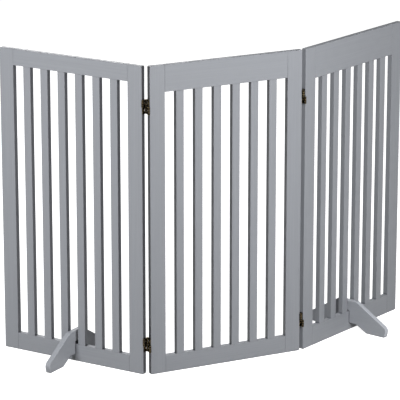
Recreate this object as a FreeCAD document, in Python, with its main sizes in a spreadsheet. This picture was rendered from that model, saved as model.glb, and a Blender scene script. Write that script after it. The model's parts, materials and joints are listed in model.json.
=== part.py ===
import FreeCAD, Part
import os

import Sketcher
from FreeCAD import Placement, Rotation, Vector

# Free-standing folding pet gate: three slatted wooden panels, two-way screen hinges between
# them, and a slip-on foot under each outer panel.
#
# Millimetres, +Z up.  The origin is the middle of the centre panel's underside, on the floor.
# The centre panel runs along X with its front towards -Y, and both outer panels are folded back
# towards +Y about the hinges' back pins.

DIMENSIONS = (
    # the three panels
    ("panel_height", 920, "floor to top of each panel"),
    ("panel_width", 490, "each panel over its two stiles"),
    ("stock_thickness", 16, "every board of the panels, planed flush"),
    ("stile_width", 48, "upright at each side of a panel"),
    ("left_top_rail", 49, "height of the left panel's top rail"),
    ("centre_top_rail", 79, "height of the centre panel's top rail"),
    ("right_top_rail", 95, "height of the right panel's top rail"),
    ("left_bottom_rail", 52, "height of the left panel's bottom rail"),
    ("centre_bottom_rail", 52, "height of the centre panel's bottom rail"),
    ("right_bottom_rail", 60, "height of the right panel's bottom rail"),
    ("slat_width", 25, "each slat"),
    ("slat_count", 6, "slats in a panel"),
    ("outline_round", 2, "rounding along a panel's outline"),
    ("corner_round", 4, "rounding of a panel's four corners, seen from the front"),
    ("slat_round", 1.5, "rounding along a slat"),
    ("joint_ease", 0.8, "eased edge where two boards of a panel meet"),
    # how the boards are joined
    ("tenon_thickness", 8, "stub tenon on a slat's end"),
    ("tenon_shoulder", 3, "shoulder at each side of the tenon"),
    ("tenon_length", 12, "how far the tenon goes into the rail"),
    ("dowel_radius", 4, "dowel between a stile and a rail"),
    ("dowel_length", 40, "half in the stile, half in the rail"),
    ("dowel_spacing", 24, "between the two dowels of a joint"),
    ("dowel_chamfer", 1, "at each end of a dowel"),
    ("glue_gap", 0.15, "around a tenon or dowel"),
    ("end_gap", 1, "beyond the end of a tenon, dowel or screw"),
    # the feet
    ("foot_thickness", 16, "board that a foot is cut from"),
    ("foot_height", 93, "floor to the top of a foot"),
    ("foot_flat", 26, "level top, out from the panel's face"),
    ("foot_reach", 137, "tip, out from the panel's face"),
    ("foot_tip_height", 26.6, "where the slope meets the tip, before rounding"),
    ("foot_sole_end", 131.5, "outer end of the sole, out from the panel's face"),
    ("foot_sole_start", 64, "inner end of the sole, out from the panel's face"),
    ("foot_arch_start", 26, "where the arch becomes level, out from the panel's face"),
    ("foot_arch_height", 21.5, "level underside beside the panel"),
    ("foot_tip_round", 15, "rounding at the top of the tip"),
    ("foot_toe_round", 4, "rounding at the bottom of the tip"),
    ("foot_bend_round", 5, "rounding of the shallow corners"),
    ("foot_edge_round", 1.5, "rounding along a foot's outline"),
    ("foot_clearance", 0.4, "each side of the panel in a foot's slot"),
    ("foot_seat_gap", 1.5, "slot ceiling above the taller bottom rail"),
    # the hinges
    ("left_upper_hinge", 801, "height of the hinge's middle"),
    ("left_lower_hinge", 89, "height of the hinge's middle"),
    ("right_upper_hinge", 779, "height of the hinge's middle"),
    ("right_lower_hinge", 94, "height of the hinge's middle"),
    ("hinge_height", 42, "both halves of a hinge"),
    ("leaf_thickness", 1.3, "plate screwed to a stile"),
    ("link_thickness", 1.4, "plate between a front and a back pin"),
    ("knuckle_wall", 1.5, "metal around a pin's bore"),
    ("knuckle_gap", 0.3, "between two knuckles on one pin"),
    ("pin_radius", 1.85, "hinge pin"),
    ("pin_clearance", 0.05, "between a pin and its bore"),
    ("pin_chamfer", 0.4, "at each end of a pin"),
    ("pin_proud", 1, "pin's axis beyond the panel's face"),
    ("plate_gap", 0.5, "between a plate and the knuckles that turn past it"),
    # the hinge screws
    ("screw_radius", 1.4, "shank"),
    ("screw_head_radius", 2.8, "countersunk head"),
    ("screw_length", 15, "top of the head to the point"),
    ("screw_point", 3, "tapered end"),
    ("screw_gap", 0.05, "around a screw"),
    ("access_gap", 0.4, "around a screw's head in the link's access hole"),
    # how far the outer panels are folded back from a straight line, in degrees
    ("left_fold_angle", 57.35, "left panel"),
    ("right_fold_angle", 25.3, "right panel"),
)

WORKED_OUT = (
    ("rail_length", "Size.panel_width - 2 * Size.stile_width"),
    ("gap_width", "(Worked.rail_length - Size.slat_count * Size.slat_width) / (Size.slat_count + 1)"),
    ("slat_pitch", "Size.slat_width + Worked.gap_width"),
    ("mortise_depth", "Size.tenon_length + Size.end_gap"),
    ("dowel_bore_depth", "Size.dowel_length / 2 + Size.end_gap"),
    ("dowel_bore_radius", "Size.dowel_radius + Size.glue_gap"),
    ("half_stock", "Size.stock_thickness / 2"),
    ("pin_bore_radius", "Size.pin_radius + Size.pin_clearance"),
    ("knuckle_radius", "Worked.pin_bore_radius + Size.knuckle_wall"),
    ("pin_offset", "Worked.half_stock + Size.pin_proud"),
    ("hinge_reach", "Size.panel_width / 2 + Worked.knuckle_radius"),
    ("half_hinge", "Size.hinge_height / 2"),
    ("knuckle_length", "(Worked.half_hinge - 3 * Size.knuckle_gap) / 3"),
    ("stack_length", "Worked.half_hinge - Size.knuckle_gap"),
    ("plate_reach", "Worked.pin_offset - Worked.knuckle_radius - Size.plate_gap"),
    ("screw_offset", "Size.hinge_height / 4"),
    ("pilot_depth", "Size.screw_length - Size.leaf_thickness + Size.end_gap"),
    ("jaw_half", "Worked.half_stock + Size.foot_clearance"),
    ("jaw_top", "max(Size.left_bottom_rail; Size.right_bottom_rail) + Size.foot_seat_gap"),
)

TOUCHING = 0.001    # two places closer than this are the same
Z_AXIS = Vector(0, 0, 1)
Y_AXIS = Vector(0, 1, 0)

doc = FreeCAD.newDocument("PetGate")
nodes = []


def make_sheets():
    """The driving dimensions, and the sizes that follow from them."""
    size = doc.addObject("Spreadsheet::Sheet", "Size")
    for row, (alias, number, note) in enumerate(DIMENSIONS, start=1):
        size.set(f"A{row}", alias)
        size.set(f"B{row}", str(number))
        size.set(f"C{row}", note)
        size.setAlias(f"B{row}", alias)
    worked = doc.addObject("Spreadsheet::Sheet", "Worked")
    for row, (alias, formula) in enumerate(WORKED_OUT, start=1):
        worked.set(f"A{row}", alias)
        worked.set(f"B{row}", "=" + formula.replace("Worked.", ""))
        worked.setAlias(f"B{row}", alias)
    doc.recompute()
    return size


size_sheet = make_sheets()


def value(expression):
    """The number that an expression over the two sheets gives."""
    return float(size_sheet.evalExpression(expression))


# ---------------------------------------------------------------- modelling helpers

def new_body(label):
    body = doc.addObject("PartDesign::Body", label)
    body.Label = label
    return body


def new_sketch(body, role, offset="0"):
    """A sketch on one of the body's own origin planes, moved along the plane's normal."""
    sketch = body.newObject("Sketcher::SketchObject", body.Label + "_sketch")
    plane = next(feature for feature in body.Origin.OriginFeatures if feature.Role == role)
    sketch.AttachmentSupport = [(plane, "")]
    sketch.MapMode = "FlatFace"
    sketch.setExpression(".AttachmentOffset.Base.z", offset)
    return sketch


def fix_point(sketch, geometry, place, point):
    """Ties a start point (1) or centre (3) to two expressions, measured from the sketch's origin."""
    for kind, expression in zip(("DistanceX", "DistanceY"), point):
        rule = Sketcher.Constraint(kind, -1, 1, geometry, place, value(expression))
        number = sketch.addConstraint(rule)
        sketch.setExpression(f"Constraints[{number}]", expression)


def draw_outline(sketch, points):
    """A closed loop of straight lines; each point is a pair of expressions."""
    places = [Vector(value(across), value(up), 0) for across, up in points]
    sides = [Part.LineSegment(a, b) for a, b in zip(places, places[1:] + places[:1])]
    lines = sketch.addGeometry(sides, False)
    for before, line in zip(lines[-1:] + lines[:-1], lines):
        sketch.addConstraint(Sketcher.Constraint("Coincident", before, 2, line, 1))
    for line, point in zip(lines, points):
        fix_point(sketch, line, 1, point)


def draw_rectangle(sketch, centre, half_width, half_height):
    """A rectangle about a point on the sketch's horizontal axis."""
    low, high = f"{centre} - {half_width}", f"{centre} + {half_width}"
    draw_outline(sketch, [(low, f"-({half_height})"), (high, f"-({half_height})"),
                          (high, half_height), (low, half_height)])


def draw_circles(sketch, radius, heights):
    """Circles on the sketch's vertical axis, at the heights given."""
    for height in heights:
        shape = Part.Circle(Vector(0, value(height), 0), Z_AXIS, value(radius))
        circle = sketch.addGeometry(shape, False)
        fix_point(sketch, circle, 3, ("0", height))
        rule = Sketcher.Constraint("Radius", circle, value(radius))
        number = sketch.addConstraint(rule)
        sketch.setExpression(f"Constraints[{number}]", radius)


def pad(body, sketch, length, symmetric=False):
    feature = body.newObject("PartDesign::Pad", body.Label + "_pad")
    feature.Profile = sketch
    feature.SideType = "Symmetric" if symmetric else "One side"
    feature.setExpression("Length", length)


def pocket(body, sketch, depth, along_normal=False):
    """Cuts a sketch into the body, against the sketch's normal unless told otherwise."""
    doc.recompute()
    before = body.Shape.Volume
    feature = body.newObject("PartDesign::Pocket", body.Label + "_pocket")
    feature.Profile = sketch
    feature.Reversed = along_normal
    feature.setExpression("Length", depth)
    doc.recompute()
    if body.Shape.Volume > before - TOUCHING:
        raise RuntimeError(f"{body.Label}: a pocket cuts nothing")


def round_edges(body, radius, test):
    """Rounds the edges whose bounding boxes pass the test."""
    doc.recompute()
    sharp = body.Tip
    edges = [f"Edge{number}" for number, edge in enumerate(sharp.Shape.Edges, start=1)
             if test(edge.BoundBox)]
    feature = body.newObject("PartDesign::Fillet", body.Label + "_round")
    feature.Base = (sharp, edges)
    feature.setExpression("Radius", radius)


def same(a, b):
    return abs(a - b) < TOUCHING


def on_a_face(box):
    """Whether an edge lies in the front or the back face of a board of the panels."""
    return same(box.YMin, box.YMax) and same(abs(box.YMin), value("Worked.half_stock"))


def turned(label, points):
    """A round piece about Z from its half outline."""
    body = new_body(label)
    sketch = new_sketch(body, "XZ_Plane")
    draw_outline(sketch, points)
    feature = body.newObject("PartDesign::Revolution", label + "_turning")
    feature.Profile = sketch
    feature.ReferenceAxis = (sketch, ["V_Axis"])
    feature.Angle = 360
    return body


def block(name, size, corner):
    """A box from expressions: its size and its lowest corner."""
    solid = doc.addObject("Part::Box", name)
    for side, expression in zip(("Length", "Width", "Height"), size):
        solid.setExpression(side, expression)
    for axis, expression in zip("xyz", corner):
        solid.setExpression(f"Placement.Base.{axis}", expression)
    return solid


def rod(name, radius, length, foot, rotation=Rotation()):
    """A cylinder from expressions: its radius, length and the centre of its lower end."""
    solid = doc.addObject("Part::Cylinder", name)
    solid.Placement = Placement(Vector(), rotation)
    solid.setExpression("Radius", radius)
    solid.setExpression("Height", length)
    for axis, expression in zip("xyz", foot):
        solid.setExpression(f"Placement.Base.{axis}", expression)
    return solid


def cut_from(label, added, removed):
    """One piece from solids joined together, less others."""
    joined = doc.addObject("Part::MultiFuse", label + "_metal")
    joined.Shapes = added
    joined.Refine = True
    holes = doc.addObject("Part::MultiFuse", label + "_holes")
    holes.Shapes = removed
    piece = doc.addObject("Part::Cut", label)
    piece.Label = label
    piece.Base = joined
    piece.Tool = holes
    return piece


def keep(piece, placement):
    """Puts a finished piece in its place and lists it for the hand-in."""
    piece.Placement = placement
    nodes.append(piece)


def keep_group(label, pattern, placements):
    """Identical fasteners: one node that holds a separate solid at each placement."""
    links = []
    for number, placement in enumerate(placements, start=1):
        link = doc.addObject("App::Link", f"{label}_{number}")
        link.LinkedObject = pattern
        link.Placement = placement
        links.append(link)
    group = doc.addObject("Part::Compound", label)
    group.Label = label
    group.Links = links
    nodes.append(group)


def at(x, y, z, rotation=Rotation()):
    return Placement(Vector(x, y, z), rotation)


HALF_TURN = Rotation(Z_AXIS, 180)     # end for end, still upright
UPSIDE_DOWN = Rotation(Y_AXIS, 180)   # top for bottom, front still in front
LYING = Rotation(Y_AXIS, 90)          # from along Z to along X


# ---------------------------------------------------------------- the boards

def joint_heights(rail_middle):
    """The two dowels of a joint, about the middle of the rail."""
    return [f"{rail_middle} - Size.dowel_spacing / 2", f"{rail_middle} + Size.dowel_spacing / 2"]


def make_stile(label, side, hinge_heights):
    """An upright.  Its inner side, with the dowel bores, faces local +X; hinges go on the other."""
    body = new_body(label)
    outline = new_sketch(body, "XY_Plane")
    draw_rectangle(outline, "0", "Size.stile_width / 2", "Worked.half_stock")
    pad(body, outline, "Size.panel_height")

    bores = new_sketch(body, "YZ_Plane", "Size.stile_width / 2")
    draw_circles(bores, "Worked.dowel_bore_radius",
                 joint_heights(f"Size.{side}_bottom_rail / 2")
                 + joint_heights(f"Size.panel_height - Size.{side}_top_rail / 2"))
    pocket(body, bores, "Worked.dowel_bore_depth")

    if hinge_heights:
        pilots = new_sketch(body, "YZ_Plane", "-Size.stile_width / 2")
        draw_circles(pilots, "Size.screw_radius + Size.screw_gap",
                     [f"Size.{hinge} {sign} Worked.screw_offset"
                      for hinge in hinge_heights for sign in "-+"])
        pocket(body, pilots, "Worked.pilot_depth", along_normal=True)

    inner = value("Size.stile_width / 2")
    round_edges(body, "Size.corner_round",
                lambda box: same(box.XMin, -inner) and same(box.XMax, -inner)
                and same(box.ZMin, box.ZMax) and same(box.YLength, value("Size.stock_thickness")))
    round_edges(body, "Size.outline_round", lambda box: on_a_face(box) and not same(box.XMin, inner))
    round_edges(body, "Size.joint_ease", lambda box: on_a_face(box) and same(box.XMin, inner))
    return body


def slat_middle(number):
    """How far a slat's middle is from the panel's, along the panel."""
    return f"({number} - (Size.slat_count - 1) / 2) * Worked.slat_pitch"


def make_rail(label, rail_height):
    """A bottom rail, mortised along its upper edge; a top rail is the same board upside down."""
    body = new_body(label)
    outline = new_sketch(body, "XY_Plane")
    draw_rectangle(outline, "0", "Worked.rail_length / 2", "Worked.half_stock")
    pad(body, outline, rail_height)

    for end, inwards in (("Worked.rail_length / 2", False), ("-Worked.rail_length / 2", True)):
        bores = new_sketch(body, "YZ_Plane", end)
        draw_circles(bores, "Worked.dowel_bore_radius", joint_heights(f"{rail_height} / 2"))
        pocket(body, bores, "Worked.dowel_bore_depth", along_normal=inwards)

    mortises = new_sketch(body, "XY_Plane", rail_height)
    for number in range(slat_count):
        draw_rectangle(mortises, slat_middle(number),
                       "(Size.slat_width / 2 - Size.tenon_shoulder + Size.glue_gap)",
                       "(Size.tenon_thickness / 2 + Size.glue_gap)")
    pocket(body, mortises, "Worked.mortise_depth")

    round_edges(body, "Size.outline_round", lambda box: on_a_face(box) and same(box.ZMax, 0))
    round_edges(body, "Size.joint_ease",
                lambda box: on_a_face(box) and not same(box.ZMax, value("Size.outline_round")))
    return body


def make_slat(label, side):
    """A slat between the rails, with a stub tenon at each end."""
    between_rails = f"(Size.panel_height - Size.{side}_top_rail - Size.{side}_bottom_rail)"
    body = new_body(label)
    outline = new_sketch(body, "XY_Plane")
    draw_rectangle(outline, "0", "Size.slat_width / 2", "Worked.half_stock")
    pad(body, outline, between_rails)
    round_edges(body, "Size.slat_round", lambda box: box.ZLength > value("Size.slat_width"))
    tenons = new_sketch(body, "XY_Plane", "-Size.tenon_length")
    draw_rectangle(tenons, "0", "(Size.slat_width / 2 - Size.tenon_shoulder)",
                   "Size.tenon_thickness / 2")
    pad(body, tenons, f"{between_rails} + 2 * Size.tenon_length")
    return body


def make_panel(side, place, hinged_sides):
    """One panel; hinged_sides maps 'left' and 'right' to the hinges on that side."""
    to_stile = value("(Size.panel_width - Size.stile_width) / 2")
    keep(make_stile(f"{side}_panel_left_stile", side, hinged_sides.get("left", ())),
         place * at(-to_stile, 0, 0))
    keep(make_stile(f"{side}_panel_right_stile", side, hinged_sides.get("right", ())),
         place * at(to_stile, 0, 0, HALF_TURN))
    keep(make_rail(f"{side}_panel_bottom_rail", f"Size.{side}_bottom_rail"), place)
    keep(make_rail(f"{side}_panel_top_rail", f"Size.{side}_top_rail"),
         place * at(0, 0, value("Size.panel_height"), UPSIDE_DOWN))
    for number in range(slat_count):
        keep(make_slat(f"{side}_panel_slat_{number + 1}", side),
             place * at(value(slat_middle(number)), 0, value(f"Size.{side}_bottom_rail")))

    half_rail = value("Worked.rail_length / 2")
    heights = (joint_heights(f"Size.{side}_bottom_rail / 2")
               + joint_heights(f"Size.panel_height - Size.{side}_top_rail / 2"))
    keep_group(f"{side}_panel_dowels", dowel,
               [place * at(end, 0, value(height), LYING)
                for end in (-half_rail, half_rail) for height in heights])


# ---------------------------------------------------------------- the feet

def make_foot(label):
    """A board across the panel, with an arch under it and a slot that drops over the bottom rail."""
    def out(distance):
        return f"Worked.half_stock + {distance}"

    half = [("Worked.jaw_half", "Worked.jaw_top"),
            ("Worked.jaw_half", "Size.foot_arch_height"),
            (out("Size.foot_arch_start"), "Size.foot_arch_height"),
            (out("Size.foot_sole_start"), "0"),
            (out("Size.foot_sole_end"), "0"),
            (out("Size.foot_reach"), "Size.foot_tip_height"),
            (out("Size.foot_flat"), "Size.foot_height")]
    other_half = [(f"-({across})", up) for across, up in reversed(half)]
    body = new_body(label)
    outline = new_sketch(body, "YZ_Plane")
    draw_outline(outline, half + other_half)
    pad(body, outline, "Size.foot_thickness", symmetric=True)

    def corner_at(point):
        across, up = (value(expression) for expression in point)
        return lambda box: same(box.YMin, box.YMax) and same(abs(box.YMin), across) \
            and same(box.ZMin, up) and same(box.ZMax, up)

    round_edges(body, "Size.foot_tip_round", corner_at(half[5]))
    round_edges(body, "Size.foot_toe_round", corner_at(half[4]))
    for point in (half[2], half[3], half[6]):
        round_edges(body, "Size.foot_bend_round", corner_at(point))
    jaw = value("Worked.jaw_half")
    round_edges(body, "Size.foot_edge_round",
                lambda box: same(box.XMin, box.XMax) and max(abs(box.YMin), abs(box.YMax)) > jaw + 1)
    return body


# ---------------------------------------------------------------- the hinges

def knuckle_low(half, third):
    """The lower end of a knuckle; third counts from the hinge's middle, half is + above or - below."""
    start = f"(Size.knuckle_gap + {third} * (Worked.knuckle_length + Size.knuckle_gap))"
    return start if half == "+" else f"(-{start} - Worked.knuckle_length)"


def make_leaf(label):
    """The leaf of a left-hand panel: front knuckles in its upper half, back ones in its lower half.

    Its frame has the middle of the gap between the panels at its origin.
    """
    plate = block(label + "_plate", ("Size.leaf_thickness", "2 * Worked.plate_reach", "Size.hinge_height"),
                  ("-Worked.knuckle_radius", "-Worked.plate_reach", "-Worked.half_hinge"))
    metal = [plate]
    holes = []
    for half, face in (("+", "-"), ("-", "+")):
        pin_line = f"{face}Worked.pin_offset"
        for third in (0, 2):
            low = knuckle_low(half, third)
            name = f"{label}_knuckle_{'upper' if half == '+' else 'lower'}_{third}"
            metal.append(rod(name, "Worked.knuckle_radius", "Worked.knuckle_length",
                             ("0", pin_line, low)))
            metal.append(block(name + "_tab",
                               ("Size.leaf_thickness", "Worked.pin_offset", "Worked.knuckle_length"),
                               ("-Worked.knuckle_radius", "0" if face == "+" else pin_line, low)))
        holes.append(rod(f"{name}_bore", "Worked.pin_bore_radius", "Size.hinge_height",
                         ("0", pin_line, "-Worked.half_hinge")))
        sink = doc.addObject("Part::Cone", f"{name}_countersink")
        sink.Placement = Placement(Vector(), LYING)
        sink.setExpression("Radius1", "Size.screw_radius + Size.screw_gap")
        sink.setExpression("Radius2", "Size.screw_head_radius + Size.screw_gap")
        sink.setExpression("Height", "Size.leaf_thickness")
        sink.setExpression("Placement.Base.x", "-Worked.knuckle_radius")
        sink.setExpression("Placement.Base.z", f"{half}Worked.screw_offset")
        holes.append(sink)
    return cut_from(label, metal, holes)


def make_link(label):
    """The plate that joins a front and a back pin in the upper half of a hinge."""
    to_knuckle = "(Worked.pin_offset - Worked.pin_bore_radius - Size.knuckle_wall / 2)"
    low = knuckle_low("+", 1)
    metal = [block(label + "_plate", ("Size.link_thickness", "2 * Worked.plate_reach", "Worked.stack_length"),
                   ("-Size.link_thickness / 2", "-Worked.plate_reach", "Size.knuckle_gap")),
             block(label + "_tab", ("Size.link_thickness", f"2 * {to_knuckle}", "Worked.knuckle_length"),
                   ("-Size.link_thickness / 2", f"-{to_knuckle}", low))]
    holes = [rod(label + "_access", "Size.screw_head_radius + Size.access_gap", "2 * Size.link_thickness",
                 ("-Size.link_thickness", "0", "Worked.screw_offset"), LYING)]
    for face in "-+":
        centre = ("0", f"{face}Worked.pin_offset", low)
        name = f"{label}_{'front' if face == '-' else 'back'}"
        metal.append(rod(name, "Worked.knuckle_radius", "Worked.knuckle_length", centre))
        holes.append(rod(name + "_bore", "Worked.pin_bore_radius", "Worked.knuckle_length", centre))
    return cut_from(label, metal, holes)


def make_hinges(fold, left_hand, right_hand):
    """The two hinges of a fold.  left_hand and right_hand are the (name, place) of its panels.

    Folded back, the upper links stay with the left-hand panel and the lower ones with the right.
    """
    reach = value("Worked.hinge_reach")
    screw_depth = value("Size.leaf_thickness - Worked.knuckle_radius")
    pin_line = value("Worked.pin_offset")
    screw_offset = value("Worked.screw_offset")
    stack_middle = value("Size.knuckle_gap + Worked.stack_length / 2")
    heights = {level: value(f"Size.{fold}_{level}_hinge") for level in ("upper", "lower")}

    for (panel, place), to_gap, turn, link, flip in (
            (left_hand, reach, Rotation(), "top", Rotation()),
            (right_hand, -reach, HALF_TURN, "bottom", UPSIDE_DOWN)):
        pins = []
        screws = []
        for level, height in heights.items():
            hinge = place * at(to_gap, 0, height)
            keep(make_leaf(f"{fold}_{level}_hinge_{panel}_leaf"), hinge * at(0, 0, 0, turn))
            keep(make_link(f"{fold}_{level}_hinge_{link}_link"), hinge * at(0, 0, 0, flip))
            for half in (1, -1):
                pins.append(hinge * at(0, 0, 0, turn) * at(0, -half * pin_line, half * stack_middle))
                screws.append(hinge * at(0, 0, 0, turn) * at(screw_depth, 0, half * screw_offset, LYING))
        keep_group(f"{fold}_hinge_{panel}_pins", hinge_pin, pins)
        keep_group(f"{fold}_hinge_{panel}_screws", hinge_screw, screws)


# ---------------------------------------------------------------- the whole gate

def folded_back(side, angle):
    """Where an outer panel stands; side is -1 on the left and 1 on the right."""
    straight = at(side * 2 * value("Worked.hinge_reach"), 0, 0)
    back_pin = Vector(side * value("Worked.hinge_reach"), value("Worked.pin_offset"), 0)
    return Placement(Vector(), Rotation(Z_AXIS, side * angle), back_pin) * straight


slat_count = int(value("Size.slat_count"))

dowel = turned("dowel", [
    ("0", "-Size.dowel_length / 2"),
    ("Size.dowel_radius - Size.dowel_chamfer", "-Size.dowel_length / 2"),
    ("Size.dowel_radius", "Size.dowel_chamfer - Size.dowel_length / 2"),
    ("Size.dowel_radius", "Size.dowel_length / 2 - Size.dowel_chamfer"),
    ("Size.dowel_radius - Size.dowel_chamfer", "Size.dowel_length / 2"),
    ("0", "Size.dowel_length / 2")])

hinge_pin = turned("hinge_pin", [
    ("0", "-Worked.stack_length / 2"),
    ("Size.pin_radius - Size.pin_chamfer", "-Worked.stack_length / 2"),
    ("Size.pin_radius", "Size.pin_chamfer - Worked.stack_length / 2"),
    ("Size.pin_radius", "Worked.stack_length / 2 - Size.pin_chamfer"),
    ("Size.pin_radius - Size.pin_chamfer", "Worked.stack_length / 2"),
    ("0", "Worked.stack_length / 2")])

# a countersunk wood screw, head upwards, with the top of its head at the origin
hinge_screw = turned("hinge_screw", [
    ("0", "-Size.screw_length"),
    ("Size.screw_radius", "Size.screw_point - Size.screw_length"),
    ("Size.screw_radius", "-Size.leaf_thickness"),
    ("Size.screw_head_radius", "0"),
    ("0", "0")])

centre_place = Placement()
left_place = folded_back(-1, value("Size.left_fold_angle"))
right_place = folded_back(1, value("Size.right_fold_angle"))

left_hinges = ("left_lower_hinge", "left_upper_hinge")
right_hinges = ("right_lower_hinge", "right_upper_hinge")
make_panel("centre", centre_place, {"left": left_hinges, "right": right_hinges})
make_panel("left", left_place, {"right": left_hinges})
make_panel("right", right_place, {"left": right_hinges})
make_hinges("left", ("outer", left_place), ("centre", centre_place))
make_hinges("right", ("centre", centre_place), ("outer", right_place))
keep(make_foot("left_foot"), left_place)
keep(make_foot("right_foot"), right_place)

doc.recompute()
for item in doc.Objects:
    if "Invalid" in item.State or "Error" in item.State:
        raise RuntimeError(f"{item.Label}: {item.State}")
os.makedirs("parts", exist_ok=True)
for piece in nodes:
    if piece.Shape.isNull() or not piece.Shape.isValid() or not piece.Shape.Solids:
        raise RuntimeError(f"{piece.Label}: its shape is empty or not valid")
    piece.Shape.exportStep(f"parts/{piece.Label}.step")
print(len(nodes), "nodes")
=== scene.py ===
import json
import math

import bpy
from mathutils import Matrix, Vector

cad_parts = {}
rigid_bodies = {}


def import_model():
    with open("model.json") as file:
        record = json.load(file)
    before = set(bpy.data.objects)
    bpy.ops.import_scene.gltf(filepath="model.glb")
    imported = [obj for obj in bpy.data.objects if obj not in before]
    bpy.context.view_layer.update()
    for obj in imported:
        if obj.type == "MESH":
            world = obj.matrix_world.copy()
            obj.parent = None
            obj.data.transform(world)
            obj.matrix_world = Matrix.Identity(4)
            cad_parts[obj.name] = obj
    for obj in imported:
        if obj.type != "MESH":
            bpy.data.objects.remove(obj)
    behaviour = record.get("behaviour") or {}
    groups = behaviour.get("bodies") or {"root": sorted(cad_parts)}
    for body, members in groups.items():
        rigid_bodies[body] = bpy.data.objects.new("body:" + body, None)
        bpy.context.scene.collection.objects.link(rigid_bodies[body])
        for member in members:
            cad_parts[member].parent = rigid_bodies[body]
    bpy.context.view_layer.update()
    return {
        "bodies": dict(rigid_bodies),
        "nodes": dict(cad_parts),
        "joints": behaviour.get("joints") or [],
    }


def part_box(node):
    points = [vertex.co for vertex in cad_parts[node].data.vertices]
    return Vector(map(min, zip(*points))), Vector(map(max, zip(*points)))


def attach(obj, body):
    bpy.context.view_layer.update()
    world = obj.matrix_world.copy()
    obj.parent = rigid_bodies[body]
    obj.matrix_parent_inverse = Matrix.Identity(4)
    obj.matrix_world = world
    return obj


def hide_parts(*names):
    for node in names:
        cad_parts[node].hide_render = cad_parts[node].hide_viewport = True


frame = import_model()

# A folding pet gate of painted wood: three slatted panels, two-way screen hinges and two feet.
# Metres, +Z up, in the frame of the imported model.  Boards and hinge plates are the packed
# nodes with painted and plated finishes; slats, hinge pins and hinge screws repeat, so
# node trees make them.

joints = {joint["name"]: joint for joint in frame["joints"]}


# ---------------------------------------------------------------- measures from the model

def length_of(node, axis):
    low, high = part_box(node)
    return high[axis] - low[axis]


def middle_of(node):
    low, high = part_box(node)
    return (low + high) / 2


def panel_frame(side):
    """Where a panel's own frame is: X along it, front towards -Y, origin under its middle."""
    if side == "centre":
        return Matrix.Identity(4)
    joint = joints[side + "_fold"]
    pin = Vector((joint["pos_m"][0], joint["pos_m"][1], 0))
    folded = math.radians(-joint["range_deg"][0]) * joint["axis"][2]
    pin_on_panel = Vector((-pin.x, pin.y, 0))
    return Matrix.Translation(pin) @ Matrix.Rotation(folded, 4, "Z") @ Matrix.Translation(-pin_on_panel)


SIDES = ("left", "centre", "right")
PANEL = {side: panel_frame(side) for side in SIDES}
TURN = {side: PANEL[side].to_euler().z for side in SIDES}

STOCK = length_of("centre_panel_top_rail", 1)
SLAT_WIDTH = length_of("centre_panel_slat_1", 0)
SLAT_PITCH = middle_of("centre_panel_slat_2").x - middle_of("centre_panel_slat_1").x
SLAT_COUNT = sum(name.startswith("centre_panel_slat_") for name in frame["nodes"])
HINGE_REACH = joints["right_fold"]["pos_m"][0]
PIN_OFFSET = joints["right_fold"]["pos_m"][1]
HINGE_HEIGHT = length_of("left_upper_hinge_centre_leaf", 2)


# ---------------------------------------------------------------- node tree helpers

def put(tree, kind, settings=None, **inputs):
    """Adds a node.  An input is a value or another node's output; i0, i1... go by number."""
    made = tree.nodes.new(kind)
    for name, setting in (settings or {}).items():
        setattr(made, name, setting)
    for name, source in inputs.items():
        numbered = name[0] == "i" and name[1:].isdigit()
        socket = made.inputs[int(name[1:]) if numbered else name.replace("_", " ")]
        if isinstance(source, bpy.types.NodeSocket):
            tree.links.new(source, socket)
        else:
            socket.default_value = source
    return made


def math_of(tree, operation, first, second=0.0):
    return put(tree, "ShaderNodeMath", {"operation": operation}, i0=first, i1=second).outputs[0]


def faded(tree, source, low, high, to_low=0.0, to_high=1.0):
    """Maps low..high onto to_low..to_high, held at both ends."""
    return put(tree, "ShaderNodeMapRange", {"clamp": True}, Value=source, From_Min=low,
               From_Max=high, To_Min=to_low, To_Max=to_high).outputs["Result"]


def mixed(tree, share, first, second):
    """Two colours mixed by a share that changes over the surface."""
    mix = put(tree, "ShaderNodeMix", {"data_type": "RGBA"}, Factor=share)
    for socket, source in ((mix.inputs[6], first), (mix.inputs[7], second)):
        if isinstance(source, bpy.types.NodeSocket):
            tree.links.new(source, socket)
        else:
            socket.default_value = (*source, 1.0)
    return mix.outputs[2]


def new_group(name, kind, inputs, outputs):
    """A node group with named sockets; each is (name, type, default)."""
    group = bpy.data.node_groups.new(name, kind)
    for label, socket_type, default in inputs:
        socket = group.interface.new_socket(label, in_out="INPUT", socket_type=socket_type)
        if default is not None:
            socket.default_value = default
    for label, socket_type in outputs:
        group.interface.new_socket(label, in_out="OUTPUT", socket_type=socket_type)
    return group, group.nodes.new("NodeGroupInput").outputs, group.nodes.new("NodeGroupOutput").inputs


# ---------------------------------------------------------------- shared surface effects

BOARD_STEP = 41.0               # how far apart in the grain two boards are cut
STREAK_SPAN = (0.28, 0.72)
PORE_SPAN = (0.55, 0.75)
PORE_DEPTH = 0.35
COAT_SPAN = (0.3, 0.7)
SHEEN_SPAN = (0.35, 0.7)
EDGE_SPAN = (0.995, 0.86)       # cosine between the face and the rounded edge
EDGE_BREAK_SPAN = (0.38, 0.6)
CLOSED_SPAN = (0.95, 0.45)      # how open a corner is, from no painted shade to full painted shade
JOINT_SHADE_PATCHES = (0.2, 0.6, 0.6, 1.0)


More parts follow.
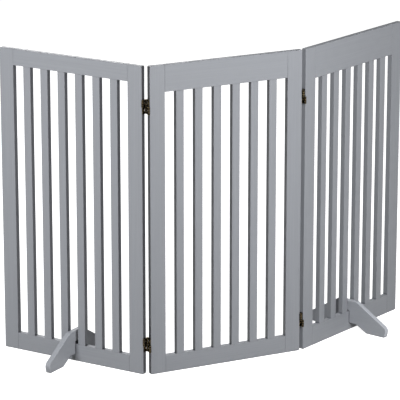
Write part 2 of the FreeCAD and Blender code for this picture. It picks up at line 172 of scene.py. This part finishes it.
def brushed_grain():
    """Brush marks and wood grain under paint, drawn out along the board."""
    group, given, out = new_group(
        "brushed_grain", "ShaderNodeTree",
        [("Place", "NodeSocketVector", None), ("Board", "NodeSocketFloat", 0.0),
         ("Streak Width", "NodeSocketFloat", 0.002), ("Streak Length", "NodeSocketFloat", 0.2)],
        [("Tone", "NodeSocketFloat"), ("Height", "NodeSocketFloat")])
    across = math_of(group, "DIVIDE", 1.0, given["Streak Width"])
    along = math_of(group, "DIVIDE", 1.0, given["Streak Length"])
    stretch = put(group, "ShaderNodeCombineXYZ", X=across, Y=across, Z=along).outputs[0]
    drawn = put(group, "ShaderNodeVectorMath", {"operation": "MULTIPLY"},
                i0=given["Place"], i1=stretch).outputs[0]
    board_shift = math_of(group, "MULTIPLY", given["Board"], BOARD_STEP)
    place = put(group, "ShaderNodeVectorMath", {"operation": "ADD"}, i0=drawn, i1=board_shift).outputs[0]
    streaks = put(group, "ShaderNodeTexNoise", Vector=place, Scale=1.0, Detail=4.0,
                  Roughness=0.6).outputs["Fac"]
    pores = put(group, "ShaderNodeTexNoise", Vector=place, Scale=4.3, Detail=2.0,
                Roughness=0.5).outputs["Fac"]
    group.links.new(faded(group, streaks, *STREAK_SPAN), out["Tone"])
    hollow = math_of(group, "MULTIPLY", faded(group, pores, *PORE_SPAN), PORE_DEPTH)
    group.links.new(math_of(group, "SUBTRACT", streaks, hollow), out["Height"])
    return group


def uneven_coat():
    """Broad unevenness of a hand-finished coat: thicker and thinner, shinier and duller."""
    group, given, out = new_group(
        "uneven_coat", "ShaderNodeTree",
        [("Place", "NodeSocketVector", None), ("Patch Size", "NodeSocketFloat", 0.12)],
        [("Tone", "NodeSocketFloat"), ("Sheen Loss", "NodeSocketFloat"), ("Peel", "NodeSocketFloat")])
    patches = math_of(group, "DIVIDE", 1.0, given["Patch Size"])
    broad = put(group, "ShaderNodeTexNoise", Vector=given["Place"], Scale=patches, Detail=3.0).outputs["Fac"]
    rubbed = put(group, "ShaderNodeTexNoise", Vector=given["Place"], Scale=37.0, Detail=3.0).outputs["Fac"]
    peel = put(group, "ShaderNodeTexNoise", Vector=given["Place"], Scale=620.0, Detail=1.0).outputs["Fac"]
    group.links.new(faded(group, broad, *COAT_SPAN), out["Tone"])
    group.links.new(faded(group, rubbed, *SHEEN_SPAN), out["Sheen Loss"])
    group.links.new(peel, out["Peel"])
    return group


def edge_wear_and_highlight():
    """A mask that is 1 on outside edges, broken up by noise: rubbed wear on plated metal, a painted
    highlight on painted wood.
    """
    group, given, out = new_group(
        "edge_wear_and_highlight", "ShaderNodeTree",
        [("Place", "NodeSocketVector", None), ("Edge Width", "NodeSocketFloat", 0.001),
         ("Break Up", "NodeSocketFloat", 300.0)],
        [("Mask", "NodeSocketFloat")])
    rounded = put(group, "ShaderNodeBevel", {"samples": 4}, Radius=given["Edge Width"]).outputs[0]
    flat = put(group, "ShaderNodeNewGeometry").outputs["True Normal"]
    level = put(group, "ShaderNodeVectorMath", {"operation": "DOT_PRODUCT"}, i0=rounded, i1=flat)
    edge = faded(group, level.outputs["Value"], *EDGE_SPAN)
    spots = put(group, "ShaderNodeTexNoise", Vector=given["Place"], Scale=given["Break Up"],
                Detail=3.0).outputs["Fac"]
    group.links.new(math_of(group, "MULTIPLY", edge, faded(group, spots, *EDGE_BREAK_SPAN)), out["Mask"])
    return group


def painted_joint_shade():
    """A mask of painted shade: darkening in joints and inside corners, where the faces close in, broken into
    patches.
    """
    group, given, out = new_group(
        "painted_joint_shade", "ShaderNodeTree",
        [("Place", "NodeSocketVector", None), ("Reach", "NodeSocketFloat", 0.004)],
        [("Mask", "NodeSocketFloat")])
    openness = put(group, "ShaderNodeAmbientOcclusion", {"samples": 6}, Distance=given["Reach"])
    closed = faded(group, openness.outputs["AO"], *CLOSED_SPAN)
    patches = put(group, "ShaderNodeTexNoise", Vector=given["Place"], Scale=60.0, Detail=3.0).outputs["Fac"]
    group.links.new(math_of(group, "MULTIPLY", closed, faded(group, patches, *JOINT_SHADE_PATCHES)), out["Mask"])
    return group


GRAIN = brushed_grain()
COAT = uneven_coat()
EDGES = edge_wear_and_highlight()
JOINT_SHADE = painted_joint_shade()


# ---------------------------------------------------------------- materials

def new_material(name):
    material = bpy.data.materials.new(name)
    material.use_nodes = True
    tree = material.node_tree
    tree.nodes.clear()
    shader = put(tree, "ShaderNodeBsdfPrincipled")
    surface = put(tree, "ShaderNodeOutputMaterial")
    tree.links.new(shader.outputs[0], surface.inputs[0])
    return material, tree, shader


def board_place(tree, turn, tilt):
    """Object coordinates turned so that Z runs along the board."""
    place = put(tree, "ShaderNodeTexCoord").outputs["Object"]
    level = put(tree, "ShaderNodeMapping", {"vector_type": "POINT"}, Vector=place,
                Rotation=(0.0, 0.0, -turn)).outputs[0]
    return put(tree, "ShaderNodeMapping", {"vector_type": "POINT"}, Vector=level,
               Rotation=tilt).outputs[0]


UPRIGHT = (0.0, 0.0, 0.0)
ALONG_PANEL = (0.0, -math.pi / 2, 0.0)
ACROSS_PANEL = (math.pi / 2, 0.0, 0.0)

PAINT = (0.337, 0.349, 0.375)
PAINT_THIN = (0.296, 0.308, 0.334)
PAINT_THICK = (0.366, 0.378, 0.402)
# painted shade: the dark colour mixed into joints and inside corners
PAINT_IN_SHADE = (0.1, 0.105, 0.115)
STREAK_SHARE = (0.15, 0.85)     # least and most of the thick paint in a brush streak
COAT_SHARE = (0.3, 0.6)         # least and most of the even coat over the streaks
FINE_LINES_FROM = 0.55
FINE_LINES_SHARE = 0.16
# painted highlight: how far the outside edges are lightened towards the thick paint
EDGE_HIGHLIGHT_SHARE = 0.4
JOINT_SHADE_SHARE = 0.8
PAINT_ROUGHNESS = (0.42, 0.56)
PAINT_SPECULAR = 0.42


def painted_wood(name, turn, tilt):
    """Satin cool grey paint over planed pine, brushed out along the board, with a painted highlight on its
    outside edges and painted shade in its joints and inside corners.
    """
    material, tree, shader = new_material(name)
    place = board_place(tree, turn, tilt)
    board = put(tree, "ShaderNodeAttribute", {"attribute_name": "board"}).outputs["Fac"]
    grain = put(tree, "ShaderNodeGroup", {"node_tree": GRAIN}, Place=place, Board=board,
                Streak_Width=0.0035, Streak_Length=0.28).outputs
    fine = put(tree, "ShaderNodeGroup", {"node_tree": GRAIN}, Place=place, Board=board,
               Streak_Width=0.0009, Streak_Length=0.06).outputs
    coat = put(tree, "ShaderNodeGroup", {"node_tree": COAT}, Place=place, Patch_Size=0.16).outputs
    edge_mask = put(tree, "ShaderNodeGroup", {"node_tree": EDGES}, Place=place, Edge_Width=0.0012,
               Break_Up=90.0).outputs["Mask"]
    # painted shade: an occlusion mask that darkens the joints and inside corners
    joint_shade = put(tree, "ShaderNodeGroup", {"node_tree": JOINT_SHADE}, Place=place, Reach=0.005).outputs["Mask"]

    streaky = mixed(tree, faded(tree, grain["Tone"], 0.0, 1.0, *STREAK_SHARE), PAINT_THIN, PAINT_THICK)
    patchy = mixed(tree, faded(tree, coat["Tone"], 0.0, 1.0, *COAT_SHARE), streaky, PAINT)
    fine_lines = faded(tree, fine["Tone"], FINE_LINES_FROM, 1.0, 0.0, FINE_LINES_SHARE)
    lined = mixed(tree, fine_lines, patchy, PAINT_THICK)
    # painted highlight: the eased outside edges lightened towards the thick paint
    with_edge_highlight = mixed(tree, faded(tree, edge_mask, 0.0, 1.0, 0.0, EDGE_HIGHLIGHT_SHARE), lined, PAINT_THICK)
    # painted shade mixed into the paint where the occlusion mask is high
    shaded_joints = mixed(tree, faded(tree, joint_shade, 0.0, 1.0, 0.0, JOINT_SHADE_SHARE), with_edge_highlight, PAINT_IN_SHADE)
    tree.links.new(shaded_joints, shader.inputs["Base Color"])
    tree.links.new(faded(tree, coat["Sheen Loss"], 0.0, 1.0, *PAINT_ROUGHNESS), shader.inputs["Roughness"])
    shader.inputs["Specular IOR Level"].default_value = PAINT_SPECULAR

    strokes = put(tree, "ShaderNodeBump", Strength=0.35, Distance=0.00025, Height=grain["Height"])
    lines = put(tree, "ShaderNodeBump", Strength=0.3, Distance=0.00012, Height=fine["Height"],
                Normal=strokes.outputs[0])
    peel = put(tree, "ShaderNodeBump", Strength=0.15, Distance=0.00008, Height=coat["Peel"],
               Normal=lines.outputs[0])
    tree.links.new(peel.outputs[0], shader.inputs["Normal"])
    return material


ROUGHNESS_SPREAD = 0.18
BEECH_DARK = (0.52, 0.34, 0.2)
BEECH_PALE = (0.68, 0.5, 0.32)
BEECH_ROUGHNESS = 0.62


def plated_metal(name, plating, shaded, bared, roughness):
    """Plated metal: mottled between plating and shaded, bared where its edges are rubbed."""
    material, tree, shader = new_material(name)
    place = put(tree, "ShaderNodeTexCoord").outputs["Object"]
    coat = put(tree, "ShaderNodeGroup", {"node_tree": COAT}, Place=place, Patch_Size=0.006).outputs
    edge_mask = put(tree, "ShaderNodeGroup", {"node_tree": EDGES}, Place=place, Edge_Width=0.0009,
               Break_Up=330.0).outputs["Mask"]
    mottled = mixed(tree, coat["Tone"], shaded, plating)
    tree.links.new(mixed(tree, edge_mask, mottled, bared), shader.inputs["Base Color"])
    shader.inputs["Metallic"].default_value = 1.0
    dull = faded(tree, coat["Sheen Loss"], 0.0, 1.0, roughness, roughness + ROUGHNESS_SPREAD)
    tree.links.new(dull, shader.inputs["Roughness"])
    bump = put(tree, "ShaderNodeBump", Strength=0.25, Distance=0.00006, Height=coat["Peel"])
    tree.links.new(bump.outputs[0], shader.inputs["Normal"])
    return material


def bare_beech():
    """Unpainted beech dowel: pale, with short darker flecks."""
    material, tree, shader = new_material("bare_beech")
    place = board_place(tree, 0.0, ALONG_PANEL)
    grain = put(tree, "ShaderNodeGroup", {"node_tree": GRAIN}, Place=place, Streak_Width=0.0006,
                Streak_Length=0.008).outputs
    tree.links.new(mixed(tree, grain["Tone"], BEECH_DARK, BEECH_PALE), shader.inputs["Base Color"])
    shader.inputs["Roughness"].default_value = BEECH_ROUGHNESS
    bump = put(tree, "ShaderNodeBump", Strength=0.3, Distance=0.0001, Height=grain["Height"])
    tree.links.new(bump.outputs[0], shader.inputs["Normal"])
    return material


UPRIGHT_PAINT = {side: painted_wood(f"{side}_upright_paint", TURN[side], UPRIGHT) for side in SIDES}
RAIL_PAINT = {side: painted_wood(f"{side}_rail_paint", TURN[side], ALONG_PANEL) for side in SIDES}
FOOT_PAINT = {side: painted_wood(f"{side}_foot_paint", TURN[side], ACROSS_PANEL)
              for side in ("left", "right")}
HINGE_BRONZE = plated_metal("antique_bronze", plating=(0.085, 0.065, 0.038), shaded=(0.014, 0.012, 0.01),
                            bared=(0.86, 0.68, 0.38), roughness=0.27)
PIN_BRASS = plated_metal("pin_brass", plating=(0.5, 0.37, 0.18), shaded=(0.16, 0.115, 0.06),
                         bared=(0.9, 0.72, 0.4), roughness=0.24)
SCREW_BRASS = plated_metal("polished_screw_brass", plating=(0.88, 0.7, 0.4), shaded=(0.5, 0.37, 0.19),
                           bared=(0.95, 0.8, 0.5), roughness=0.25)
DOWEL_BEECH = bare_beech()


def finish_node(node, material):
    """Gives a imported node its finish, on the object's own material slots."""
    for material_slot in frame["nodes"][node].material_slots:
        material_slot.link = "OBJECT"
        material_slot.material = material


for side in SIDES:
    finish_node(f"{side}_panel_left_stile", UPRIGHT_PAINT[side])
    finish_node(f"{side}_panel_right_stile", UPRIGHT_PAINT[side])
    finish_node(f"{side}_panel_top_rail", RAIL_PAINT[side])
    finish_node(f"{side}_panel_bottom_rail", RAIL_PAINT[side])
    finish_node(f"{side}_panel_dowels", DOWEL_BEECH)
for side in ("left", "right"):
    finish_node(f"{side}_foot", FOOT_PAINT[side])
for node in frame["nodes"]:
    if node.endswith(("_leaf", "_link")):
        finish_node(node, HINGE_BRONZE)


# ---------------------------------------------------------------- repeated pieces

SLAT_EDGE_ROUND = 0.0015
SLAT_EDGE_STEPS = 6
FIRST_SEED = 3

KNUCKLE_GAP = 0.0003
PIN_RADIUS = 0.00185
PIN_DOME = PIN_RADIUS * 0.3
PIN_SIDES = 24
DOME_STEPS = 6
WELD_DISTANCE = 0.00001

LEAF_THICKNESS = 0.0013
SCREW_HEAD_RADIUS = 0.0028
HEAD_SIDES = 32
SHANK_SIDES = 20
RECESS_ACROSS = 1.25            # length of the cross recess over the head's radius
RECESS_DEEP = 1.1               # height of its cutters over the head's depth; half of it cuts
CORE_SHARE = 0.72               # the core's and the thread ridge's radius over the shank's
RIDGE_SHARE = 0.14
THREAD_STEPS = 14
RIDGE_SIDES = 5


def made_plain(name, tree, material, values, points=((0.0, 0.0, 0.0),)):
    """Runs a geometry tree on a mesh of the given points and keeps the result as a plain mesh."""
    seed_mesh = bpy.data.meshes.new(name + "_places")
    seed_mesh.from_pydata([tuple(point) for point in points], [], [])
    maker = bpy.data.objects.new(name + "_maker", seed_mesh)
    bpy.context.scene.collection.objects.link(maker)
    modifier = maker.modifiers.new("maker", "NODES")
    modifier.node_group = tree
    sockets = {item.name: item.identifier for item in tree.interface.items_tree
               if item.in_out == "INPUT"}
    for label, given in {**values, "Finish": material}.items():
        modifier[sockets[label]] = given
    depsgraph = bpy.context.evaluated_depsgraph_get()
    mesh = bpy.data.meshes.new_from_object(maker.evaluated_get(depsgraph), depsgraph=depsgraph)
    mesh.name = name
    while mesh.materials[0] is None:
        mesh.materials.pop(index=0)
    bpy.data.objects.remove(maker)
    piece = bpy.data.objects.new(name, mesh)
    bpy.context.scene.collection.objects.link(piece)
    return piece


def close_tree(tree, out, geometry, finish):
    """Every tree ends the same way: instances made real, then the finish."""
    real = put(tree, "GeometryNodeRealizeInstances", Geometry=geometry).outputs[0]
    dressed = put(tree, "GeometryNodeSetMaterial", Geometry=real, Material=finish).outputs[0]
    tree.links.new(dressed, out["Geometry"])


def slat_row_tree():
    """A row of eased slats, standing on a rail and spaced evenly about the panel's middle."""
    tree, given, out = new_group(
        "slat_row", "GeometryNodeTree",
        [("Geometry", "NodeSocketGeometry", None), ("Count", "NodeSocketInt", 6),
         ("Pitch", "NodeSocketFloat", 0.06), ("Width", "NodeSocketFloat", 0.025),
         ("Thickness", "NodeSocketFloat", 0.016), ("Length", "NodeSocketFloat", 0.8),
         ("Edge Round", "NodeSocketFloat", 0.0015), ("Bottom", "NodeSocketFloat", 0.05),
         ("Panel Place", "NodeSocketVector", None), ("Panel Turn", "NodeSocketVector", None),
         ("Seed", "NodeSocketInt", 3), ("Finish", "NodeSocketMaterial", None)],
        [("Geometry", "NodeSocketGeometry")])
    section = put(tree, "GeometryNodeCurvePrimitiveQuadrilateral", Width=given["Width"],
                  Height=given["Thickness"]).outputs[0]
    eased = put(tree, "GeometryNodeFilletCurve", {"mode": "POLY"}, Curve=section,
                Count=SLAT_EDGE_STEPS, Radius=given["Edge Round"]).outputs[0]
    top = put(tree, "ShaderNodeCombineXYZ", Z=given["Length"]).outputs[0]
    path = put(tree, "GeometryNodeCurvePrimitiveLine", Start=(0, 0, 0), End=top).outputs[0]
    slat = put(tree, "GeometryNodeCurveToMesh", Curve=path, Profile_Curve=eased,
               Fill_Caps=True).outputs[0]

    last = math_of(tree, "SUBTRACT", given["Count"], 1.0)
    half_row = math_of(tree, "MULTIPLY", math_of(tree, "MULTIPLY", last, given["Pitch"]), -0.5)
    first = put(tree, "ShaderNodeCombineXYZ", X=half_row, Z=given["Bottom"]).outputs[0]
    step = put(tree, "ShaderNodeCombineXYZ", X=given["Pitch"]).outputs[0]
    row = put(tree, "GeometryNodeMeshLine", {"mode": "OFFSET"}, Count=given["Count"],
              Start_Location=first, Offset=step).outputs[0]
    standing = put(tree, "GeometryNodeInstanceOnPoints", Points=row, Instance=slat).outputs[0]
    number = put(tree, "FunctionNodeRandomValue", {"data_type": "FLOAT"}, i2=0.1, i3=1.0,
                 Seed=given["Seed"]).outputs[1]
    marked = put(tree, "GeometryNodeStoreNamedAttribute",
                 {"data_type": "FLOAT", "domain": "INSTANCE"},
                 Geometry=standing, Name="board", Value=number).outputs[0]
    placed = put(tree, "GeometryNodeTransform", Geometry=marked, Translation=given["Panel Place"],
                 Rotation=given["Panel Turn"]).outputs[0]
    close_tree(tree, out, placed, given["Finish"])
    return tree


def facing_points(tree, points, shape, turn):
    """Instances of one shape on each point, all turned the same way."""
    return put(tree, "GeometryNodeInstanceOnPoints", Points=points, Instance=shape,
               Rotation=turn).outputs[0]


def moved(tree, shape, place=(0, 0, 0), turn=(0, 0, 0)):
    return put(tree, "GeometryNodeTransform", Geometry=shape, Translation=place,
               Rotation=turn).outputs[0]


def up_by(tree, height):
    return put(tree, "ShaderNodeCombineXYZ", Z=height).outputs[0]


def joined(tree, *shapes):
    join = tree.nodes.new("GeometryNodeJoinGeometry")
    for shape in shapes:
        tree.links.new(shape, join.inputs[0])
    return join.outputs[0]


def hinge_pin_tree():
    """Pins with domed, peened ends, one on each point."""
    tree, given, out = new_group(
        "hinge_pins", "GeometryNodeTree",
        [("Geometry", "NodeSocketGeometry", None), ("Radius", "NodeSocketFloat", 0.0018),
         ("Length", "NodeSocketFloat", 0.02), ("Dome", "NodeSocketFloat", 0.0004),
         ("Finish", "NodeSocketMaterial", None)],
        [("Geometry", "NodeSocketGeometry")])
    half = math_of(tree, "MULTIPLY", given["Length"], 0.5)
    shoulder = math_of(tree, "SUBTRACT", half, given["Dome"])
    outline = []
    for step in range(DOME_STEPS + 1):
        angle = math.pi / 2 * step / DOME_STEPS
        across = math_of(tree, "MULTIPLY", given["Radius"], math.cos(angle))
        rise = math_of(tree, "MULTIPLY", given["Dome"], math.sin(angle))
        outline.append((across, math_of(tree, "ADD", shoulder, rise)))
    shaft = put(tree, "GeometryNodeMeshCylinder", {"fill_type": "NONE"}, Vertices=PIN_SIDES,
                Radius=given["Radius"], Depth=math_of(tree, "MULTIPLY", shoulder, 2.0)).outputs["Mesh"]
    rings = []
    for (low_radius, low), (high_radius, high) in zip(outline, outline[1:]):
        ring = put(tree, "GeometryNodeMeshCone", {"fill_type": "NONE"}, Vertices=PIN_SIDES,
                   Radius_Top=high_radius, Radius_Bottom=low_radius,
                   Depth=math_of(tree, "SUBTRACT", high, low)).outputs["Mesh"]
        rings.append(moved(tree, ring, up_by(tree, low)))
    dome = joined(tree, *rings)
    pin = joined(tree, shaft, dome, moved(tree, dome, turn=(math.pi, 0.0, 0.0)))
    welded = put(tree, "GeometryNodeMergeByDistance", Geometry=pin, Distance=WELD_DISTANCE).outputs[0]
    close_tree(tree, out, facing_points(tree, given["Geometry"], welded, (0, 0, 0)), given["Finish"])
    return tree


def hinge_screw_tree():
    """Countersunk wood screws with a cross recess and a thread, heads along local +Z."""
    tree, given, out = new_group(
        "hinge_screws", "GeometryNodeTree",
        [("Geometry", "NodeSocketGeometry", None), ("Head Radius", "NodeSocketFloat", 0.0028),
         ("Head Depth", "NodeSocketFloat", 0.0013), ("Shank Radius", "NodeSocketFloat", 0.0014),
         ("Length", "NodeSocketFloat", 0.015), ("Point", "NodeSocketFloat", 0.003),
         ("Thread Pitch", "NodeSocketFloat", 0.0011), ("Recess Width", "NodeSocketFloat", 0.0006),
         ("Turn", "NodeSocketVector", None), ("Finish", "NodeSocketMaterial", None)],
        [("Geometry", "NodeSocketGeometry")])
    head = put(tree, "GeometryNodeMeshCone", Vertices=HEAD_SIDES, Radius_Top=given["Head Radius"],
               Radius_Bottom=given["Shank Radius"], Depth=given["Head Depth"]).outputs["Mesh"]
    low_head = up_by(tree, math_of(tree, "MULTIPLY", given["Head Depth"], -1.0))
    arm = math_of(tree, "MULTIPLY", given["Head Radius"], RECESS_ACROSS)
    deep = math_of(tree, "MULTIPLY", given["Head Depth"], RECESS_DEEP)
    arms = []
    for size_x, size_y in ((arm, given["Recess Width"]), (given["Recess Width"], arm)):
        size = put(tree, "ShaderNodeCombineXYZ", X=size_x, Y=size_y, Z=deep).outputs[0]
        arms.append(put(tree, "GeometryNodeMeshCube", Size=size).outputs["Mesh"])
    recessed = put(tree, "GeometryNodeMeshBoolean", {"operation": "DIFFERENCE", "solver": "EXACT"})
    tree.links.new(moved(tree, head, low_head), recessed.inputs["Mesh 1"])
    for shape in arms:
        tree.links.new(shape, recessed.inputs["Mesh 2"])

    core_radius = math_of(tree, "MULTIPLY", given["Shank Radius"], CORE_SHARE)
    body_length = math_of(tree, "SUBTRACT", math_of(tree, "SUBTRACT", given["Length"], given["Point"]),
                          given["Head Depth"])
    core = put(tree, "GeometryNodeMeshCylinder", Vertices=SHANK_SIDES, Radius=core_radius,
               Depth=body_length).outputs["Mesh"]
    half_body = math_of(tree, "MULTIPLY", body_length, -0.5)
    core_place = up_by(tree, math_of(tree, "SUBTRACT", half_body, given["Head Depth"]))
    tip = put(tree, "GeometryNodeMeshCone", Vertices=SHANK_SIDES, Radius_Top=core_radius,
              Radius_Bottom=0.0, Depth=given["Point"]).outputs["Mesh"]
    tip_place = up_by(tree, math_of(tree, "MULTIPLY", given["Length"], -1.0))
    turns = math_of(tree, "DIVIDE", body_length, given["Thread Pitch"])
    ridge_radius = math_of(tree, "MULTIPLY", given["Shank Radius"], RIDGE_SHARE)
    thread_radius = math_of(tree, "SUBTRACT", given["Shank Radius"], ridge_radius)
    helix = put(tree, "GeometryNodeCurveSpiral", Resolution=THREAD_STEPS, Rotations=turns,
                Start_Radius=thread_radius, End_Radius=thread_radius, Height=body_length).outputs[0]
    ridge = put(tree, "GeometryNodeCurvePrimitiveCircle", {"mode": "RADIUS"},
                Resolution=RIDGE_SIDES, Radius=ridge_radius).outputs[0]
    thread = put(tree, "GeometryNodeCurveToMesh", Curve=helix, Profile_Curve=ridge,
                 Fill_Caps=True).outputs[0]
    thread_low = math_of(tree, "SUBTRACT", given["Point"], given["Length"])
    screw = joined(tree, recessed.outputs["Mesh"], moved(tree, core, core_place),
                   moved(tree, tip, tip_place), moved(tree, thread, up_by(tree, thread_low)))
    close_tree(tree, out, facing_points(tree, given["Geometry"], screw, given["Turn"]), given["Finish"])
    return tree


SLAT_ROW = slat_row_tree()
HINGE_PINS = hinge_pin_tree()
HINGE_SCREWS = hinge_screw_tree()


def make_slats(side, seed):
    slats = [f"{side}_panel_slat_{number + 1}" for number in range(SLAT_COUNT)]
    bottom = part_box(f"{side}_panel_bottom_rail")[1].z
    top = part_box(f"{side}_panel_top_rail")[0].z
    row = made_plain(f"{side}_panel_slats", SLAT_ROW, UPRIGHT_PAINT[side], {
        "Count": SLAT_COUNT, "Pitch": SLAT_PITCH, "Width": SLAT_WIDTH, "Thickness": STOCK,
        "Length": top - bottom, "Edge Round": SLAT_EDGE_ROUND, "Bottom": bottom,
        "Panel Place": PANEL[side].to_translation(), "Panel Turn": (0.0, 0.0, TURN[side]),
        "Seed": seed})
    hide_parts(*slats)
    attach(row, f"{side}_panel")


for seed, side in enumerate(SIDES, start=FIRST_SEED):
    make_slats(side, seed)


def make_hinge_fasteners(fold, rider, body, half_turn):
    """The pins and screws that ride with one leaf of each hinge of a fold.

    half_turn is True on the panel to the right of the fold, whose leaves are turned round.
    """
    side = "centre" if rider == "centre" else fold
    out = -1.0 if half_turn else 1.0
    stile_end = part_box("centre_panel_right_stile")[1].x
    stack = HINGE_HEIGHT / 2 - KNUCKLE_GAP
    pins = []
    screws = []
    for level in ("upper", "lower"):
        height = middle_of(f"{fold}_{level}_hinge_centre_leaf").z
        for half in (1.0, -1.0):
            pin_height = height + half * (KNUCKLE_GAP + stack / 2)
            screw_height = height + half * HINGE_HEIGHT / 4
            pins.append(PANEL[side] @ Vector((out * HINGE_REACH, -out * half * PIN_OFFSET, pin_height)))
            screws.append(PANEL[side] @ Vector((out * (stile_end + LEAF_THICKNESS), 0.0, screw_height)))
    pin_piece = made_plain(f"{fold}_{rider}_pins", HINGE_PINS, PIN_BRASS, {
        "Radius": PIN_RADIUS, "Length": stack, "Dome": PIN_DOME}, pins)
    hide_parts(f"{fold}_hinge_{rider}_pins")
    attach(pin_piece, body)
    turn = Matrix.Rotation(TURN[side], 3, "Z") @ Matrix.Rotation(out * math.pi / 2, 3, "Y")
    screw_piece = made_plain(f"{fold}_{rider}_screws", HINGE_SCREWS, SCREW_BRASS, {
        "Head Radius": SCREW_HEAD_RADIUS, "Head Depth": LEAF_THICKNESS,
        "Turn": turn.to_euler()}, screws)
    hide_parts(f"{fold}_hinge_{rider}_screws")
    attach(screw_piece, body)


make_hinge_fasteners("left", "outer", "left_panel", False)
make_hinge_fasteners("left", "centre", "centre_panel", True)
make_hinge_fasteners("right", "centre", "centre_panel", False)
make_hinge_fasteners("right", "outer", "right_panel", True)


# ---------------------------------------------------------------- floor, light and camera

FLOOR_RADIUS = 40.0
FLOOR_SIDES = 64
FLOOR_SPECKS = ((0.34, 0.34, 0.34), (0.38, 0.38, 0.38))
FLOOR_GLOW = 0.96
WORLD_LIGHT = 0.16
WHITE = (1.0, 1.0, 1.0, 1.0)

SOFTBOX_SIZE = (0.9, 0.7)
LIT_HEIGHT = 0.5                # where on its panel a softbox aims
PANEL_LIGHTS = {                # the bodies lit, the place in the panel's frame, the power
    "left": (("left_panel", "left_foot"), (-0.2, -2.5, 1.5), 64.0),
    "centre": (("centre_panel", "left_foot", "right_foot"), (0.5, -2.5, 1.5), 65.0),
    "right": (("right_panel", "right_foot"), (-1.25, -2.2, 1.5), 63.0)}
FILL_LIGHTS = {                 # the place, the aim, the size, the power
    "front_fill": ((-0.2, -2.2, 2.0), (0.1, 0.1, 0.5), (1.5, 0.9), 8.0),
    "back_fill": ((0.3, 3.2, 2.3), (0.0, 0.2, 0.4), (2.4, 1.6), 75.0)}

CAMERA_PLACE = (-3.3404, -6.6055, 2.6046)
CAMERA_LENS = 238.63
CAMERA_SENSOR = 36.0
CAMERA_REACH = 200.0
CAMERA_DOWN = math.radians(15.90)
CAMERA_TURN = math.radians(-26.255)
VIEW_GAMMA = 0.85


def make_floor():
    """An evenly pale floor that throws no light up at the gate."""
    mesh = bpy.data.meshes.new("floor")
    corners = [math.tau * step / FLOOR_SIDES for step in range(FLOOR_SIDES)]
    rim = [(FLOOR_RADIUS * math.cos(corner), FLOOR_RADIUS * math.sin(corner), 0.0) for corner in corners]
    mesh.from_pydata(rim, [], [range(FLOOR_SIDES)])
    floor = bpy.data.objects.new("floor", mesh)
    bpy.context.scene.collection.objects.link(floor)
    material, tree, shader = new_material("pale_floor")
    place = put(tree, "ShaderNodeTexCoord").outputs["Object"]
    speck = put(tree, "ShaderNodeTexNoise", Vector=place, Scale=90.0, Detail=2.0).outputs["Fac"]
    tree.links.new(mixed(tree, speck, *FLOOR_SPECKS), shader.inputs["Base Color"])
    shader.inputs["Roughness"].default_value = 0.9
    shader.inputs["Emission Color"].default_value = WHITE
    shader.inputs["Emission Strength"].default_value = FLOOR_GLOW
    mesh.materials.append(material)
    floor.visible_diffuse = False
    return floor


def make_world():
    """Even white surroundings: full white where seen, softer where they light the gate."""
    world = bpy.data.worlds.new("studio")
    bpy.context.scene.world = world
    world.use_nodes = True
    tree = world.node_tree
    tree.nodes.clear()
    seen = put(tree, "ShaderNodeLightPath").outputs["Is Camera Ray"]
    strength = faded(tree, seen, 0.0, 1.0, WORLD_LIGHT, 1.0)
    white = put(tree, "ShaderNodeBackground", Color=WHITE, Strength=strength)
    surface = put(tree, "ShaderNodeOutputWorld")
    tree.links.new(white.outputs[0], surface.inputs[0])


def add_softbox(name, place, target, size, power):
    lamp = bpy.data.lights.new(name, "AREA")
    lamp.shape = "RECTANGLE"
    lamp.size, lamp.size_y = size
    lamp.energy = power
    softbox = bpy.data.objects.new(name, lamp)
    bpy.context.scene.collection.objects.link(softbox)
    softbox.location = place
    softbox.rotation_euler = (Vector(target) - Vector(place)).to_track_quat("-Z", "Y").to_euler()
    softbox.visible_camera = False
    return softbox


def light_panel(side, floor, bodies, place, power):
    """A softbox for one panel, placed in the panel's frame and flagged off the others."""
    target = PANEL[side] @ Vector((0.0, 0.0, LIT_HEIGHT))
    softbox = add_softbox(side + "_key", PANEL[side] @ Vector(place), target, SOFTBOX_SIZE, power)
    lit = bpy.data.collections.new(side + "_lit")
    lit.objects.link(floor)
    for body in bodies:
        for piece in frame["bodies"][body].children:
            lit.objects.link(piece)
    softbox.light_linking.receiver_collection = lit


floor = make_floor()
make_world()
for side, (bodies, place, power) in PANEL_LIGHTS.items():
    light_panel(side, floor, bodies, place, power)
for name, (place, target, size, power) in FILL_LIGHTS.items():
    add_softbox(name, place, target, size, power)

camera_data = bpy.data.cameras.new("camera")
camera_data.sensor_width = CAMERA_SENSOR
camera_data.lens = CAMERA_LENS
camera_data.clip_end = CAMERA_REACH
camera = bpy.data.objects.new("camera", camera_data)
camera.location = CAMERA_PLACE
camera.rotation_euler = (math.pi / 2 - CAMERA_DOWN, 0.0, CAMERA_TURN)
bpy.context.scene.collection.objects.link(camera)
bpy.context.scene.camera = camera
bpy.context.scene.view_settings.view_transform = "Standard"
bpy.context.scene.view_settings.gamma = VIEW_GAMMA
